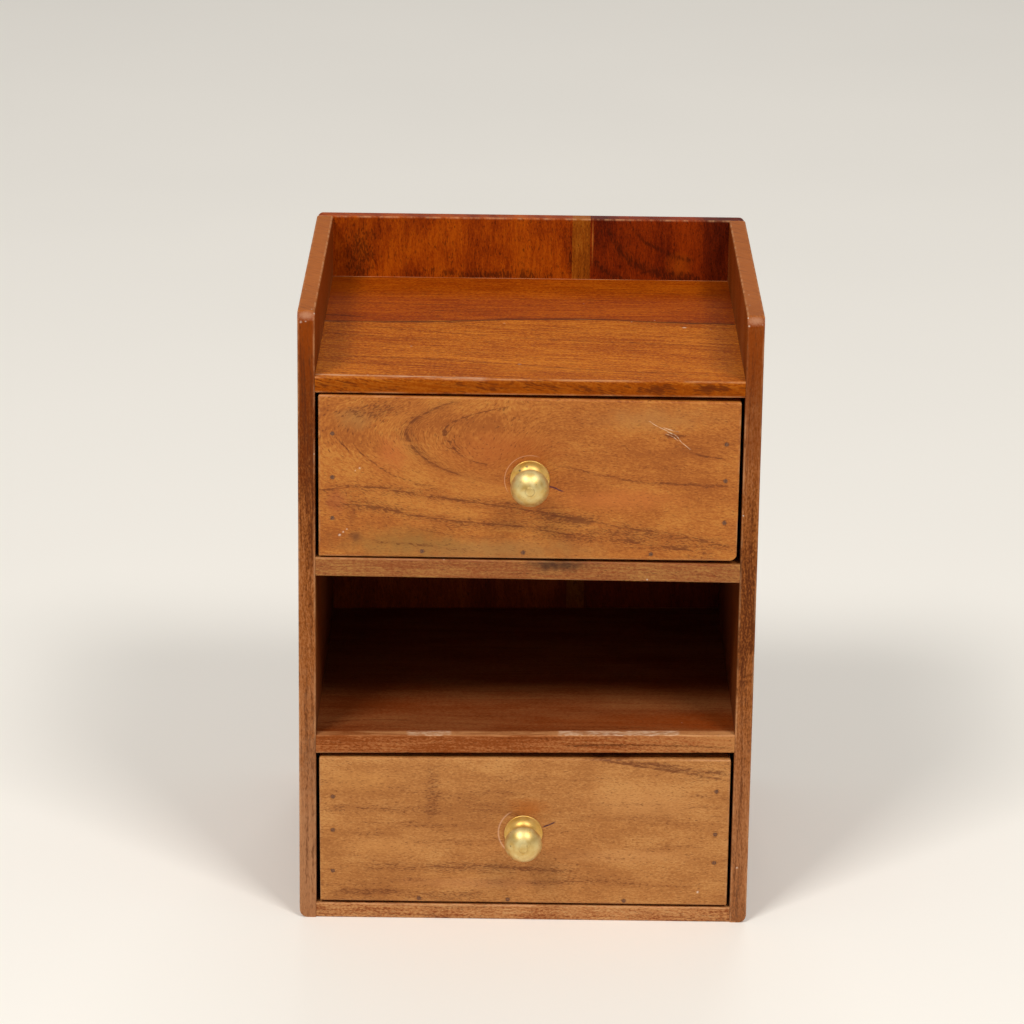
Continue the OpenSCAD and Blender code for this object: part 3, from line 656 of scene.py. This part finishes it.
upperZones = frontZones([
    (-12, 253, 40, 15, "#ab5a22", 0.75, 0.5),
    (-68, 250, 12, 14, "#b5602a", 0.7, 0.7),
    (45, 228, 40, 9, "#bf6c30", 0.6, 0.6),
    (-20, 201, 80, 9, "#a4743c", 0.75, 0.6),
    (-62, 204, 46, 13, "#8c632c", 0.65, 0.7),
    (-88, 268, 14, 9, "#a8753c", 0.6, 0.8),
    (60, 270, 42, 9, "#a8703a", 0.6, 0.6),
    (-96, 226, 8, 10, "#a85a2e", 0.7, 0.7),
])
upperMarks = [
    spotAt((-86.5, -98, 207.2), (5, 20, 3.8), tint="#6a3a1c", strength=0.75),
    spotAt((-88, -98, 220), (3.0, 20, 13), tint="#7a3a16", strength=0.6, rag=1.2),
    spotAt((-98, -98, 224), (6, 20, 6), tint="#8c4218", strength=0.5, rag=1.2),
    stroke(
        frontStreak, [(59.5, 269), (64, 266), (68.6, 263.8), (72.4, 261.8), (75.4, 258.4), (79.6, 254.6)],
        0.32, 0.8, tint=paleMark, wobble=0.4, skin=True, broken=0.2, patch="shortPatch"),
    stroke(
        frontStreak, [(66.5, 265.6), (70.4, 264.4), (73.8, 263.6)], 0.3, 0.7, tint=paleMark, wobble=0.4,
        skin=True, broken=0.1, patch="shortPatch"),
    stroke(
        frontStreak, [(67.8, 262.6), (71, 261.2), (73.4, 259.2)], 0.28, 0.8, tint=paleMark, skin=True,
        broken=0.2, patch="shortPatch"),
    {
        "draw": ringScratch, "at": (0.6, 237.7), "radius": 12.7, "width": 0.35, "turn": (75, 205),
        "tint": "#e6b48c", "strength": 0.4,
    },
    stroke(
        frontStreak, [(9.6, 234.5), (12.5, 233.9), (15.2, 232.6), (17, 232)], 0.75, 1.0, tint="#3c1430",
        broken=0.9, skin=True, wobble=0.1),
    stroke(
        frontStreak, [(9.2, 241.9), (10.4, 241.7), (11.2, 241.4)], 0.4, 0.6, tint="#47203a", skin=True,
        wobble=0.1),
    chip(-84.2, -102.5, 242.7, 0.8, strength=0.5), chip(-86.4, -102.5, 241.4, 0.5, strength=0.6),
    chip(-94.2, -102.5, 207.7, 1.0, strength=0.7), chip(-92.4, -102.5, 209.3, 0.7, strength=0.6),
    chip(-90.6, -102.5, 210.8, 0.6, strength=0.5),
]
lowerLines = [
    stroke(
        frontStreak, [(33, 90.5), (60, 87.5), (80, 84.5), (102, 82)], 2.8, 1.0, wobble=0.8, soft=8,
        broken=0.35),
    stroke(frontStreak, [(36, 89), (70, 84), (103, 78.5)], 1.2, 0.9, soft=8),
    stroke(
        frontStreak, [(-80, 28.4), (-40, 28.8), (0, 28.0), (28, 27.0)], 4.2, 0.6, wobble=1.4, soft=8,
        broken=0.35),
    stroke(
        frontStreak, [(-98, 13.4), (-70, 14.4), (-50, 13.2), (-20, 14)], 4.2, 0.6, wobble=1.2, soft=6,
        broken=0.4, patch="longPatch"),
    stroke(
        frontStreak, [(-103, 60), (-80, 61), (-50, 60), (-36, 61)], 4.0, 0.4, wobble=1.2, soft=6,
        broken=0.2),
    stroke(frontStreak, [(-60, 42), (-30, 43), (-10, 43)], 3.0, 0.4, wobble=1.0, soft=8, broken=0.2),
    stroke(frontStreak, [(14, 22), (40, 23), (64, 21)], 3.0, 0.35, wobble=1.0, soft=8),
    stroke(frontStreak, [(2, 20), (30, 21.5), (60, 20), (90, 21)], 2.0, 0.3, wobble=1.2, soft=8),
    stroke(frontStreak, [(20, 58), (50, 57), (80, 59)], 2.4, 0.3, wobble=1.2, soft=8),
    spotAt((-47, -98, 70), (6, 20, 24), strength=0.5),
]
lowerZones = frontZones([
    (2, 62, 14, 7, "#b06020", 0.6, 0.7),
    (-84, 76, 30, 9, "#c48646", 0.6, 0.6),
    (60, 66, 44, 13, "#c88c50", 0.6, 0.6),
    (-70, 40, 34, 7, "#c48648", 0.6, 0.6),
    (50, 36, 50, 6, "#c68a50", 0.5, 0.6),
    (-20, 20, 60, 5, "#b27444", 0.5, 0.6),
])
lowerMarks = [
    {
        "draw": ringScratch, "at": (-0.2, 48.5), "radius": 12.9, "width": 0.6, "turn": (125, 228),
        "tint": "#dcae8c", "strength": 0.55,
    },
    stroke(
        frontStreak, [(9.7, 51.7), (12.5, 52.8), (15.8, 54.5)], 0.75, 1.0, tint="#3c1430", broken=0.9,
        skin=True, wobble=0.1),
    chip(89.7, -102.5, 16.7, 0.9),
]


# Brown stain round the nails of a front, where the putty soaked in
def nailHalos(node):
    bm = bmesh.new()
    bm.from_mesh(nodes[node].data)
    halos, seen = [], set()
    for vert in bm.verts:
        if vert in seen:
            continue
        group, stack = [], [vert]
        seen.add(vert)
        while stack:
            one = stack.pop()
            group.append(one.co / mm)
            for edge in one.link_edges:
                other = edge.other_vert(one)
                if other not in seen:
                    seen.add(other)
                    stack.append(other)
        centre = sum(group, Vector()) / len(group)
        halos.append(
            spotAt(tuple(centre), (1.9, 9, 1.6), tint="#6b3a1c", strength=0.75, grit="crumb", rag=1.3))
    bm.free()
    return halos


woods["upper_front"] = {
    **frontTones, "axes": "xzy", "seed": 41.0, "skin": ("y", upperBox[0][1] - 1, upperBox[0][1] + 1.2, 0.3),
    "zones": upperZones, "lines": upperLines, "marks": nailHalos("upper_front_putty") + upperMarks,
    "rings": 0.12,
    "figure": {
        "apex": (-60.8, 260.2), "open": 14.0, "soft": 8.0, "fade": (30, 80), "fall": 0.07, "sway": 2.2,
        "ripple": 1.7, "tilt": 0.5,
    },
    "worn": {**rubbedLitEdge, "box": upperBox, "axes": "xyz"},
}
woods["lower_front"] = {
    **frontTones, "dark": "#a16531", "mid": "#b3763d", "light": "#c1874b",
    "axes": "xzy", "seed": 43.0, "skin": ("y", lowerBox[0][1] - 1, lowerBox[0][1] + 1.2, 0.3),
    "zones": lowerZones, "lines": lowerLines, "marks": nailHalos("lower_front_putty") + lowerMarks,
    "rings": 0.4, "ringPeriods": (50, 4.5),
    "figure": {"slope": 0.01, "sway": 2.5, "ripple": 0.6, "tilt": 0.5},
    "worn": {**rubbedLitEdge, "box": lowerBox, "axes": "xyz"},
}

# Plain pale softwood of the drawer boxes, sawn and left unpolished
boxWood = {
    "finish": "sawn_softwood", "dark": "#ab7c4a", "mid": "#c69a66", "light": "#d6b07e", "late": "#a06c3a",
    "pore": "#8a5f36", "pores": 0.25, "rough": 0.62, "figure": {"slope": 0.015, "sway": 3, "tilt": 0.8},
}
for i, drawer in enumerate(("upper", "lower")):
    woods[drawer + "_box_left"] = {**boxWood, "axes": "yzx", "seed": 51.0 + i}
    woods[drawer + "_box_right"] = {**boxWood, "axes": "yzx", "seed": 54.0 + i}
    woods[drawer + "_box_back"] = {**boxWood, "axes": "xzy", "seed": 57.0 + i}
    woods[drawer + "_box_bottom"] = {**boxWood, "axes": "xyz", "seed": 60.0 + i}

for node, wood in woods.items():
    if "worn" in wood and "box" not in wood["worn"]:
        wood = {**wood, "worn": {**wood["worn"], "box": boxMm(node)}}
    setMaterial(nodes[node], stainedWood(node + "_" + wood["finish"], wood))
print("woods:", len(woods))


# Wire nails, drawn steel gone dull: grey with brown rust blooms, nine in 10 mm. The zinc plated nuts
# and washers are the same with paler colours
def dullSteel(name, pale, rust):
    material, tree = newTree(name)
    place = addNode(tree, "TexCoord").outputs["Object"]
    bloom = addNode(tree, "TexNoise", {"Vector": place, "Scale": 0.9 / mm, "Detail": 3.0})
    bloom = addNode(tree, "MapRange", [bloom, 0.45, 0.62, 0.0, 1.0], interpolation_type="SMOOTHSTEP")
    colour = glaze(tree, linearColour(pale), bloom, rust, 0.7)
    metal = addNode(tree, "MapRange", [bloom, 0.0, 1.0, 1.0, 0.4])
    rough = addNode(tree, "MapRange", [bloom, 0.0, 1.0, 0.38, 0.7])
    bump = addNode(tree, "Bump", {"Height": bloom, "Strength": 0.3, "Distance": 0.05 * mm})
    shader = addNode(tree, "BsdfPrincipled", {
        "Base Color": colour, "Metallic": metal, "Roughness": rough, "Normal": bump})
    addNode(tree, "OutputMaterial", [shader])
    return material


# Wood filler over the nail heads, pressed in and stained dark with the boards: matte, with grains
# of about 0.8 mm
def nailPutty(name):
    material, tree = newTree(name)
    place = addNode(tree, "TexCoord").outputs["Object"]
    grain = addNode(tree, "TexNoise", {"Vector": place, "Scale": 1.2 / mm, "Detail": 3.0})
    colour = addNode(tree, "ValToRGB", [grain])
    stops = colour.color_ramp.elements
    stops[0].position, stops[0].color = 0.35, linearColour("#4a2813")
    stops[1].position, stops[1].color = 0.7, linearColour("#83502a")
    bump = addNode(tree, "Bump", {"Height": grain, "Strength": 0.5, "Distance": 0.08 * mm})
    shader = addNode(tree, "BsdfPrincipled", {"Base Color": colour, "Roughness": 0.6, "Normal": bump})
    addNode(tree, "OutputMaterial", [shader])
    return material


nailSteel = dullSteel("wire_nail_steel", "#9a958c", "#5b4030")
putty = nailPutty("stained_nail_putty")
for node in nodes:
    if node.endswith("nails"):
        setMaterial(nodes[node], nailSteel)
    elif node.endswith("putty"):
        setMaterial(nodes[node], putty)


# Patterns on the brass, as how many there are in a mm
brassPatterns = {"cloud": 0.22, "specks": 1.3, "buffing": 5.0}


# Yellow brass, turned and hand buffed: golden, softly mirrored, with grey casting pits, and a deeper orange
# gold towards the drawer front that is a painted reflection of the wood and painted shade
def turnedBrass(name, knobAt, frontY, pits):
    material, tree = newTree(name)
    metres = addNode(tree, "TexCoord").outputs["Object"]
    point = addNode(tree, "VectorMath", {0: metres, "Scale": 1 / mm}, operation="SCALE")
    cloud = addNode(tree, "TexNoise", {"Vector": point, "Scale": brassPatterns["cloud"], "Detail": 3.0})
    ramp = addNode(tree, "ValToRGB", [cloud])
    stops = ramp.color_ramp.elements
    stops[0].position, stops[0].color = 0.35, linearColour("#d3ae62")
    stops[1].position, stops[1].color = 0.65, linearColour("#e5cf90")
    colour = ramp
    depth = addNode(tree, "SeparateXYZ", [point]).outputs["Y"]
    # Painted reflection and painted shade: deeper orange gold on the foot and neck, fading out towards the
    # head
    coveReflectionShade = addNode(
        tree, "MapRange", [depth, frontY - 13, frontY - 5, 0.0, 1.0], interpolation_type="SMOOTHSTEP")
    colour = glaze(tree, colour, coveReflectionShade, "#dba342", 0.6)
    dots = addNode(tree, "TexNoise", {"Vector": point, "Scale": brassPatterns["specks"], "Detail": 2.0})
    dots = addNode(tree, "MapRange", [dots, 0.68, 0.74, 0.0, 1.0], interpolation_type="SMOOTHSTEP")
    colour = glaze(tree, colour, dots, "#8a7340", 0.6)
    places = {"point": point}
    for (x, h, z), radius, tint in pits:
        at = (knobAt[0] + x, frontY - h, knobAt[1] + z)
        mask = spot(
            tree, places, {"at": at, "radii": (radius, radius, radius), "grit": "crumb", "rag": 0.5})
        colour = glaze(tree, colour, mask, tint, 0.85)
    rough = addNode(tree, "MapRange", [cloud, 0.3, 0.7, 0.4, 0.5])
    brushed = addNode(tree, "TexNoise", {"Vector": point, "Scale": brassPatterns["buffing"], "Detail": 3.0})
    bump = addNode(tree, "Bump", {"Height": brushed, "Strength": 0.12, "Distance": 0.05 * mm})
    shader = addNode(tree, "BsdfPrincipled", {
        "Base Color": colour, "Metallic": 0.85, "Roughness": rough, "Normal": bump})
    addNode(tree, "OutputMaterial", [shader])
    return material


def newPiece(name, bm, material, body, replaced=()):
    bmesh.ops.recalc_face_normals(bm, faces=bm.faces)
    mesh = bpy.data.meshes.new(name)
    bm.to_mesh(mesh)
    bm.free()
    piece = bpy.data.objects.new(name, mesh)
    bpy.context.scene.collection.objects.link(piece)
    mesh.materials.append(material)
    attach(piece, body)
    if replaced:
        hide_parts(*replaced)
    return piece


# Spins an outline of [radius, distance in front of the face] in mm about a knob's axis
def spinOutline(outline, knobAt, frontY, steps, closed):
    bm = bmesh.new()
    x0, z0 = knobAt
    verts = [bm.verts.new(((x0 + r) * mm, (frontY - h) * mm, z0 * mm)) for r, h in outline]
    pairs = list(zip(verts, verts[1:])) + ([(verts[-1], verts[0])] if closed else [])
    edges = [bm.edges.new(pair) for pair in pairs]
    centre = Vector((x0 * mm, frontY * mm, z0 * mm))
    bmesh.ops.spin(
        bm, geom=verts + edges, cent=centre, axis=(0, 1, 0), angle=2 * math.pi, steps=steps, use_merge=True)
    bmesh.ops.remove_doubles(bm, verts=bm.verts, dist=0.001 * mm)
    return bm


def arcPoints(centre, radius, start, end, count):
    turns = [math.radians(start + (end - start) * i / count) for i in range(count + 1)]
    return [(centre[0] + radius * math.cos(t), centre[1] + radius * math.sin(t)) for t in turns]


# Radii, heights and thicknesses of a knob, its stud, washer and nut in mm
knobShape = {
    "foot": 9.9, "rim": 1.1, "neck": 4.6, "head": 9.6, "headAt": 15.2, "edge": 0.6, "front": 10.6,
    "stud": 2.3, "bore": 2.36, "washer": 6.0, "washerT": 1.0, "nutFlats": 8.0, "nutT": 3.6, "studEnd": 1.6,
    "footEdge": (0.25, 0.2), "washerEdge": 0.2, "nutEdge": 0.35, "studChamfer": 0.5, "studRound": 0.12,
    "pitch": 0.7, "thread": 0.35, "lead": 0.4, "steps": 96, "studSteps": 48, "smooth": 35,
}


# Outline of a knob from its bore round the foot flange, the neck and the head, and the middle of its dome
def knobOutline(k):
    edgeOff = k["head"] - k["edge"]
    domeOff = k["front"] - k["edge"]
    domeFrom = math.degrees(math.acos(edgeOff / domeOff))
    frontAt = k["headAt"] - domeOff * math.sin(math.radians(domeFrom))
    footCove = k["foot"] - k["rim"] / 2 - k["neck"]
    headCove = edgeOff - k["neck"]
    boreTurn = math.degrees(math.acos(k["bore"] / k["front"]))
    points = [(k["bore"], 0), (k["foot"] - k["footEdge"][0], 0), (k["foot"], k["footEdge"][1])]
    points += arcPoints((k["foot"] - k["rim"] / 2, k["rim"] / 2), k["rim"] / 2, 0, 90, 8)
    points += arcPoints((k["neck"] + footCove, k["rim"] + footCove), footCove, 268, 182, 16)
    points += arcPoints((k["neck"] + headCove, k["headAt"] - k["edge"] - headCove), headCove, 178, 91, 12)
    points += arcPoints((edgeOff, k["headAt"]), k["edge"], -88, domeFrom, 10)
    points += arcPoints((0, frontAt), k["front"], domeFrom, boreTurn, 20)[1:]
    return points, frontAt


def studOutline(k, frontAt, frontT):
    back = -(frontT + k["washerT"] + k["nutT"] + k["studEnd"])
    tip = frontAt + k["front"]
    points = [(0, back), (k["stud"] - k["studChamfer"], back)]
    ridge = back + k["lead"]
    while ridge < -frontT:
        points += [(k["stud"] - k["thread"], ridge), (k["stud"], ridge + k["pitch"] / 2)]
        ridge += k["pitch"]
    domeFrom = math.degrees(math.acos((k["stud"] - k["studRound"]) / k["front"]))
    dome = arcPoints((0, frontAt), k["front"], domeFrom, 90, 6)
    points += [
        (k["stud"], -frontT), (k["stud"], tip - 5 * k["studRound"]), (k["stud"], dome[0][1] - k["studRound"])]
    return points + dome[:-1] + [(0, tip)]


def addKnob(drawer, knobAt, box, pits):
    k = knobShape
    frontY = box[0][1]
    frontT = box[1][1] - box[0][1]
    brass = turnedBrass(drawer + "_knob_turned_brass", knobAt, frontY, pits)
    outline, frontAt = knobOutline(k)
    body = drawer + "_drawer"
    bm = spinOutline(outline, knobAt, frontY, k["steps"], True)
    knob = newPiece(drawer + "_turned_knob", bm, brass, body, [drawer + "_knob"])
    bm = spinOutline(studOutline(k, frontAt, frontT), knobAt, frontY, k["studSteps"], False)
    stud = newPiece(drawer + "_threaded_stud", bm, brass, body, [drawer + "_knob_stud"])
    r, edge, back = k["washer"], k["washerEdge"], -frontT - k["washerT"]
    washer = [
        (k["bore"], -frontT), (r - edge / 2, -frontT), (r, -frontT - edge), (r, back + edge),
        (r - edge, back), (k["bore"], back),
    ]
    bm = spinOutline(washer, knobAt, frontY, k["studSteps"], True)
    washerPiece = newPiece(
        drawer + "_pressed_washer", bm, nutSteel, body, [drawer + "_knob_washer"])
    bm = bmesh.new()
    place = Matrix.Translation(
        (knobAt[0] * mm, (frontY + frontT + k["washerT"] + k["nutT"] / 2) * mm, knobAt[1] * mm))
    place = place @ Matrix.Rotation(math.pi / 2, 4, "X") @ Matrix.Rotation(math.pi / 6, 4, "Z")
    corner = k["nutFlats"] / 2 / math.cos(math.pi / 6) * mm
    bmesh.ops.create_cone(
        bm, cap_ends=True, segments=6, radius1=corner, radius2=corner, depth=k["nutT"] * mm, matrix=place)
    bmesh.ops.bevel(
        bm, geom=bm.edges[:], offset=k["nutEdge"] * mm, segments=2, profile=0.5, affect="EDGES",
        material=-1)
    newPiece(drawer + "_hexagon_nut", bm, nutSteel, body, [drawer + "_knob_nut"])
    for piece in (knob, stud, washerPiece):
        for face in piece.data.polygons:
            face.use_smooth = True
        piece.data.set_sharp_from_angle(angle=math.radians(k["smooth"]))


nutSteel = dullSteel("zinc_plated_steel", "#b9b6ad", "#7d6f5c")
greyPit, olivePit = "#5d5647", "#8a7f38"
addKnob(
    "upper", upperKnobAt, upperBox,
    [
        ((-1.6, 19.6, 7.5), 0.8, greyPit), ((-4.8, 20.0, 5.2), 1.2, greyPit),
        ((8.2, 18.3, -0.7), 0.8, olivePit), ((-1.6, 1.7, 6.9), 1.0, greyPit),
        ((-5.1, 1.7, 4.9), 0.9, greyPit),
    ])
addKnob("lower", lowerKnobAt, lowerBox, [
    ((-0.8, 20.6, 5.6), 0.8, greyPit), ((-6.4, 19, 0.6), 0.7, greyPit), ((-3.3, 20.2, -5.4), 0.8, greyPit)])
print("knobs fitted")


# Studio: a pale floor, a soft grey world and soft lamps, each with its place and size in m and its watts
studio = {
    "floor": 8.0, "floorColour": "#fbf5ea", "ambient": 0.33,
    "lamps": {
        "left": ((-1.7, -2.5, 3.7), 1.2, 99),
        "right": ((1.7, -2.5, 3.7), 1.2, 83),
        "behind": ((0.3, 3.4, 3.6), 1.6, 26),
    },
    "aim": (0, 0, 0.17),
}


# Matt wall paint, rolled on: pale and even, it takes the shadow and no reflection
def matteFloor():
    material, tree = newTree("pale_painted_floor")
    place = addNode(tree, "TexCoord").outputs["Object"]
    cloud = addNode(tree, "TexNoise", {"Vector": place, "Scale": 3.0, "Detail": 2.0})
    rough = addNode(tree, "MapRange", [cloud, 0.3, 0.7, 0.55, 0.65])
    shader = addNode(
        tree, "BsdfPrincipled", {"Base Color": linearColour(studio["floorColour"]), "Roughness": rough})
    addNode(tree, "OutputMaterial", [shader])
    return material


bm = bmesh.new()
bmesh.ops.create_grid(bm, x_segments=1, y_segments=1, size=studio["floor"])
floorMesh = bpy.data.meshes.new("floor")
bm.to_mesh(floorMesh)
bm.free()
floor = bpy.data.objects.new("floor", floorMesh)
bpy.context.scene.collection.objects.link(floor)
floorMesh.materials.append(matteFloor())

world = bpy.data.worlds.new("soft_room")
bpy.context.scene.world = world
world.use_nodes = True
world.node_tree.nodes.clear()
light = addNode(world.node_tree, "Background", [linearColour("#ffffff"), studio["ambient"]])
addNode(world.node_tree, "OutputWorld", [light])

for name, (place, size, power) in studio["lamps"].items():
    lamp = bpy.data.lights.new(name, "AREA")
    lamp.shape, lamp.size, lamp.energy = "SQUARE", size, power
    holder = bpy.data.objects.new(name, lamp)
    holder.location = place
    aim = Vector(studio["aim"]) - Vector(place)
    holder.rotation_euler = aim.to_track_quat("-Z", "Y").to_euler()
    bpy.context.scene.collection.objects.link(holder)

# Camera: its place in mm, its turns in degrees and its lens, as measured from the photograph
view = {"place": (-7.2, -2033.9, 847.4), "pan": -0.030, "tilt": 17.973, "roll": -0.7265, "lens": 143.14}
cameraData = bpy.data.cameras.new("camera")
cameraData.sensor_width, cameraData.lens = 36.0, view["lens"]
cameraData.clip_end = 20
camera = bpy.data.objects.new("camera", cameraData)
turn = Matrix.Rotation(-math.radians(view["pan"]), 4, "Z")
turn = turn @ Matrix.Rotation(math.radians(90 - view["tilt"]), 4, "X")
turn = turn @ Matrix.Rotation(-math.radians(view["roll"]), 4, "Z")
camera.matrix_world = Matrix.Translation([v * mm for v in view["place"]]) @ turn
bpy.context.scene.collection.objects.link(camera)
bpy.context.scene.camera = camera
bpy.context.scene.view_settings.view_transform = "Standard"
print("studio set")
